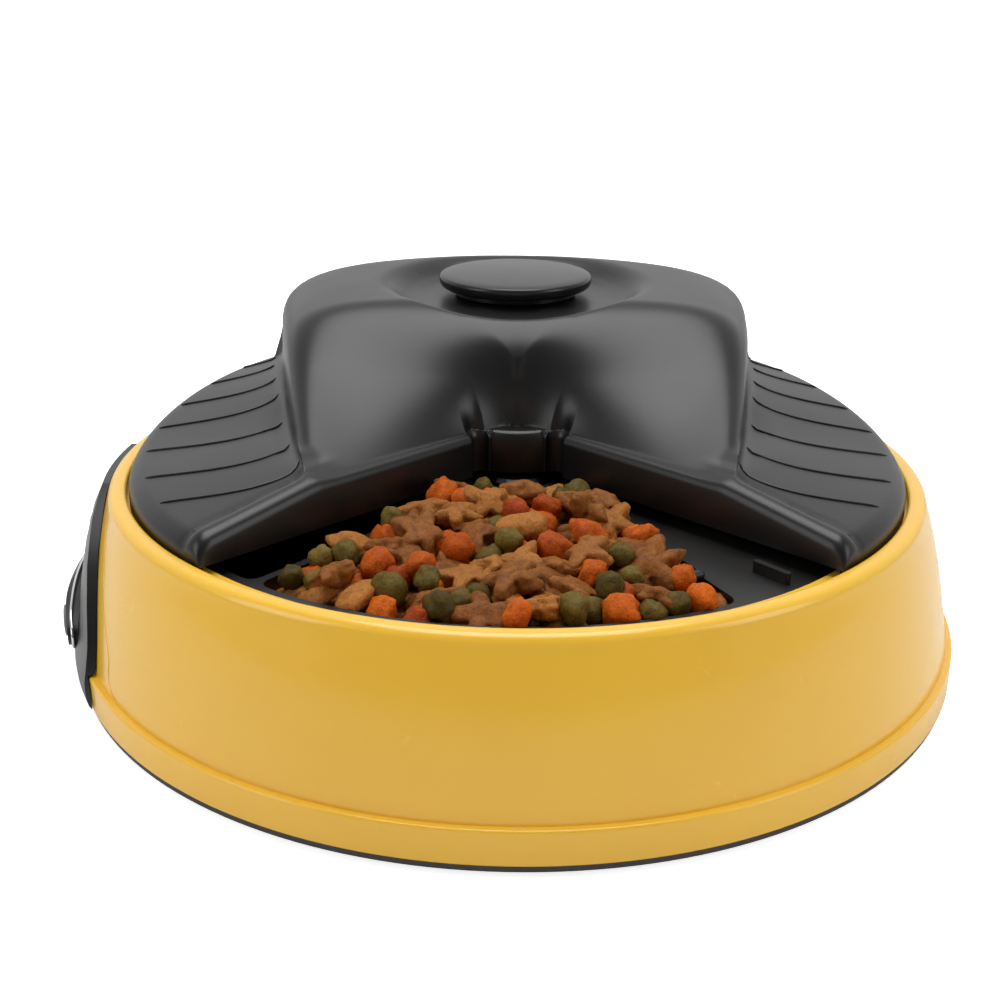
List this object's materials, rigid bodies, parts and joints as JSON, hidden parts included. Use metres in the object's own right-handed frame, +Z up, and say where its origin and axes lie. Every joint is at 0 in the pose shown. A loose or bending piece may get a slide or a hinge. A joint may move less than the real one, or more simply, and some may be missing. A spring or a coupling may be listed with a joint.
{
  "type": "automatic pet feeder",
  "caption": "Round automatic pet feeder with a carousel tray of food wells under a locking lid with a wedge opening and a side control panel.",
  "frame": {"origin": "centre of the base plate's underside, on the tray's axis", "axes": "+Z up along the tray's axis; the lid's opening faces -Y and the control panel faces -X"},
  "size_m": [0.3248, 0.32, 0.1262],
  "materials": {
    "yellow_shell": "gloss moulded plastic",
    "lid_black": "satin moulded plastic",
    "tray_black": "satin moulded plastic",
    "base_grey": "fine textured plastic",
    "rubber": "matt rubber",
    "acetal": "natural acetal",
    "steel": "plated steel",
    "electronics_black": "moulded plastic",
    "button_grey": "soft-touch plastic",
    "window_tint": "smoked clear plastic",
    "liquid_crystal": "display glass",
    "board_green": "solder mask",
    "cell_jacket": "printed cell jacket",
    "chrome": "bright plated trim"
  },
  "bodies": {
    "root": {"outer_shell": "yellow_shell", "base_plate": "base_grey", "inner_deck": "tray_black", "centre_post": "lid_black", "thrust_bush": "acetal", "gear_axle": "steel", "drive_motor": "steel", "battery_box": "base_grey", "battery_cell_1": "cell_jacket", "battery_cell_2": "cell_jacket", "battery_cell_3": "cell_jacket", "battery_cell_4": "cell_jacket", "battery_contact_bridge": "steel", "battery_contact_positive": "steel", "battery_contact_negative": "steel", "index_sensor": "electronics_black", "speaker": "electronics_black", "control_board": "board_green", "button_mat": "rubber", "display_module": "liquid_crystal", "display_window": "window_tint", "control_fascia": "lid_black", "pad_trim_ring": "chrome", "microphone": "steel", "rubber_foot_1": "rubber", "rubber_foot_2": "rubber", "rubber_foot_3": "rubber", "rubber_foot_4": "rubber", "base_screw_1": "steel", "base_screw_2": "steel", "base_screw_3": "steel", "base_screw_4": "steel", "lock_strike": "steel"},
    "tray": {"food_tray": "tray_black", "drive_hub": "acetal", "tray_gear": "acetal"},
    "compound_gear": {"compound_gear": "acetal"},
    "motor_pinion": {"motor_pinion": "acetal"},
    "lid": {"lid": "lid_black", "lock_guide": "lid_black"},
    "lock_knob": {"knob_cap": "lid_black", "knob_disc": "lid_black", "lock_shaft": "acetal"},
    "lock_bolt": {"lock_bolt": "steel"},
    "battery_door": {"battery_door": "base_grey"},
    "button_1": {"panel_button_1": "button_grey"},
    "button_2": {"panel_button_2": "button_grey"},
    "button_3": {"panel_button_3": "button_grey"},
    "button_4": {"panel_button_4": "button_grey"},
    "button_5": {"panel_button_5": "button_grey"}
  },
  "joints": [
    {"name": "tray_spin", "type": "hinge", "parent": "root", "child": "tray", "pos_m": [0, 0, 0], "axis": [0, 0, 1], "continuous": true},
    {"name": "compound_gear_spin", "type": "hinge", "parent": "root", "child": "compound_gear", "pos_m": [0, 0.0465, 0], "axis": [0, 0, 1], "continuous": true},
    {"name": "motor_spin", "type": "hinge", "parent": "root", "child": "motor_pinion", "pos_m": [-0.02703, 0.06543, 0], "axis": [0, 0, 1], "continuous": true},
    {"name": "lid_lift", "type": "slide", "parent": "root", "child": "lid", "axis": [0, 0, 1], "range_m": [0, 0.07]},
    {"name": "knob_turn", "type": "hinge", "parent": "lid", "child": "lock_knob", "pos_m": [0, 0.06, 0], "axis": [0, 0, 1], "range_deg": [0, 90]},
    {"name": "bolt_slide", "type": "slide", "parent": "lid", "child": "lock_bolt", "axis": [0, 1, 0], "range_m": [0, 0.0142]},
    {"name": "battery_door_slide", "type": "slide", "parent": "root", "child": "battery_door", "axis": [0, 1, 0], "range_m": [0, 0.01]},
    {"name": "button_1_press", "type": "slide", "parent": "root", "child": "button_1", "axis": [0.9767, -0.2147, 0], "range_m": [0, 0.0012], "stiffness_N_per_m": 400, "springref_m": -0.0005},
    {"name": "button_2_press", "type": "slide", "parent": "root", "child": "button_2", "axis": [0.9942, -0.108, 0], "range_m": [0, 0.0012], "stiffness_N_per_m": 400, "springref_m": -0.0005},
    {"name": "button_3_press", "type": "slide", "parent": "root", "child": "button_3", "axis": [1, 0, 0], "range_m": [0, 0.0012], "stiffness_N_per_m": 400, "springref_m": -0.0005},
    {"name": "button_4_press", "type": "slide", "parent": "root", "child": "button_4", "axis": [0.9942, 0.108, 0], "range_m": [0, 0.0012], "stiffness_N_per_m": 400, "springref_m": -0.0005},
    {"name": "button_5_press", "type": "slide", "parent": "root", "child": "button_5", "axis": [0.9767, 0.2147, 0], "range_m": [0, 0.0012], "stiffness_N_per_m": 400, "springref_m": -0.0005}
  ],
  "couplings": [
    {"joint": "compound_gear_spin", "follows": "tray_spin", "ratio": -3.4286},
    {"joint": "motor_spin", "follows": "tray_spin", "ratio": 9.1429},
    {"joint": "bolt_slide", "follows": "knob_turn", "m_per_rad": 0.009}
  ]
}
